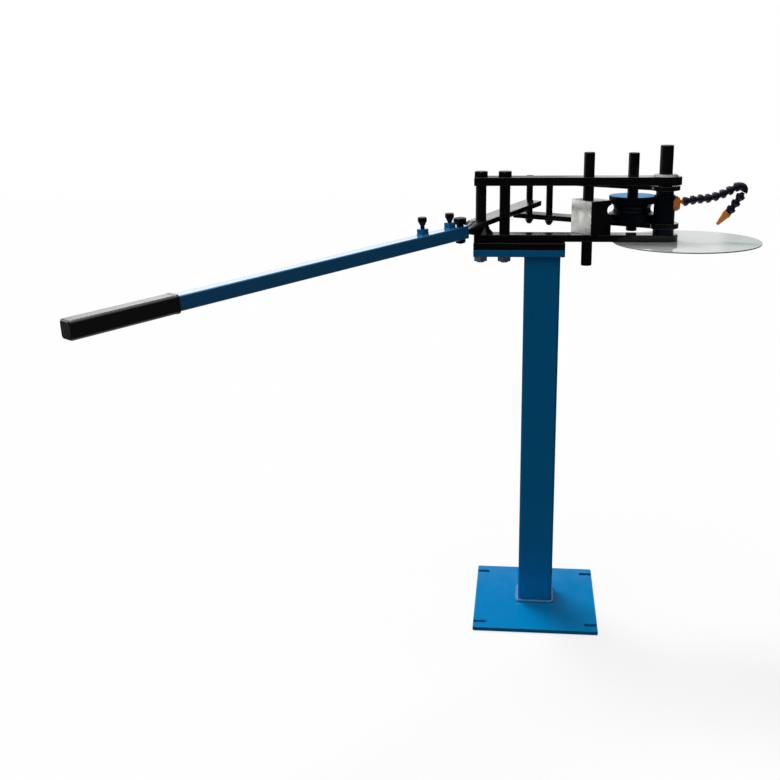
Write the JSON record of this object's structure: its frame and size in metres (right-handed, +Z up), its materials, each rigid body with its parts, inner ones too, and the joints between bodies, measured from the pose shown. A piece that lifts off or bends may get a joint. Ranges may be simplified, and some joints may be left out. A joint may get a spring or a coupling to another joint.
{
  "type": "pipe roller bender",
  "caption": "Floor-standing pipe roller bender: square column on a slotted foot, two-plate head with pins, follower block and grooved die, swing frame, long lever and dial with pointer.",
  "frame": {"origin": "centre of the foot plate's underside, on the floor", "axes": "+Z up along the column, +X along the head towards the centre pin and dial, +Y away from the side the lever points to"},
  "size_m": [1.3462, 1.0701, 1.138],
  "materials": {
    "blue_paint": "gloss",
    "black_paint": "satin",
    "black_steel": "satin",
    "weld": "rough",
    "silver_steel": "machined",
    "zinc": "zinc plated",
    "die_steel": "blued",
    "mirror_disc": "bright",
    "grip_rubber": "matt",
    "navy_plastic": "satin",
    "dark_plastic": "satin",
    "orange_plastic": "gloss"
  },
  "bodies": {
    "stand": {"base_plate": "blue_paint", "column_tube": "blue_paint", "foot_weld": "weld", "top_plate": "blue_paint", "head_base_plate": "black_paint", "lower_frame_plate": "black_paint", "upper_frame_plate": "black_paint", "post_spacers": "black_steel", "post_bolts": "black_steel", "post_nuts": "zinc", "post_washers": "zinc", "centre_pin": "black_steel", "swing_ring": "die_steel", "dial_disc": "mirror_disc"},
    "swing": {"swing_lower_plate": "black_paint", "swing_upper_plate": "black_paint", "swing_spacers": "black_steel", "swing_bolts": "black_steel", "swing_nuts": "zinc"},
    "die_pin": {"die_pin": "black_steel"},
    "die": {"roller_die": "die_steel"},
    "follower_pin": {"follower_pin": "black_steel"},
    "follower": {"follower_block": "silver_steel"},
    "lever": {"lever_bar": "black_paint", "lever_boss": "black_paint", "handle_tube": "blue_paint", "handle_grip": "grip_rubber", "weld_nuts": "blue_paint", "set_screws": "black_steel", "clamp_bolt": "black_steel", "clamp_nut": "black_steel"},
    "sleeve": {"centre_sleeve": "die_steel", "sleeve_collar": "black_steel", "pointer_fitting": "orange_plastic"},
    "hose_arm": {"hose_links_up": "navy_plastic", "hose_elbow": "navy_plastic"},
    "hose_tip": {"hose_links_down": "navy_plastic", "pointer_connector": "dark_plastic", "pointer_nozzle": "orange_plastic"}
  },
  "joints": [
    {"name": "swing_hinge", "type": "hinge", "parent": "stand", "child": "swing", "pos_m": [0.2765, 0.012, 0.956], "axis": [0, 0, -1], "range_deg": [0, 80]},
    {"name": "lever_hinge", "type": "hinge", "parent": "stand", "child": "lever", "pos_m": [-0.1445, 0.012, 0.956], "axis": [0, 0, 1], "range_deg": [-6, 50]},
    {"name": "follower_lift", "type": "slide", "parent": "stand", "child": "follower_pin", "axis": [0, 0, 1], "range_m": [0, 0.14]},
    {"name": "follower_swivel", "type": "hinge", "parent": "stand", "child": "follower", "pos_m": [0.103, 0.012, 0.97], "axis": [0, 0, 1], "range_deg": [-20, 20]},
    {"name": "die_lift", "type": "slide", "parent": "swing", "child": "die_pin", "axis": [0, 0, 1], "range_m": [0, 0.1]},
    {"name": "die_spin", "type": "hinge", "parent": "swing", "child": "die", "pos_m": [0.20722, 0.052, 0.991], "axis": [0, 0, 1], "continuous": true},
    {"name": "sleeve_turn", "type": "hinge", "parent": "stand", "child": "sleeve", "pos_m": [0.2765, 0.012, 0.99], "axis": [0, 0, 1], "range_deg": [-60, 0]},
    {"name": "pointer_swivel", "type": "hinge", "parent": "sleeve", "child": "hose_arm", "pos_m": [0.3205, 0.012, 1.006], "axis": [0, 0, 1], "range_deg": [-25, 25]},
    {"name": "pointer_bend", "type": "hinge", "parent": "hose_arm", "child": "hose_tip", "pos_m": [0.44617, 0.012, 1.0234], "axis": [0, 1, 0], "range_deg": [-20, 20]}
  ]
}
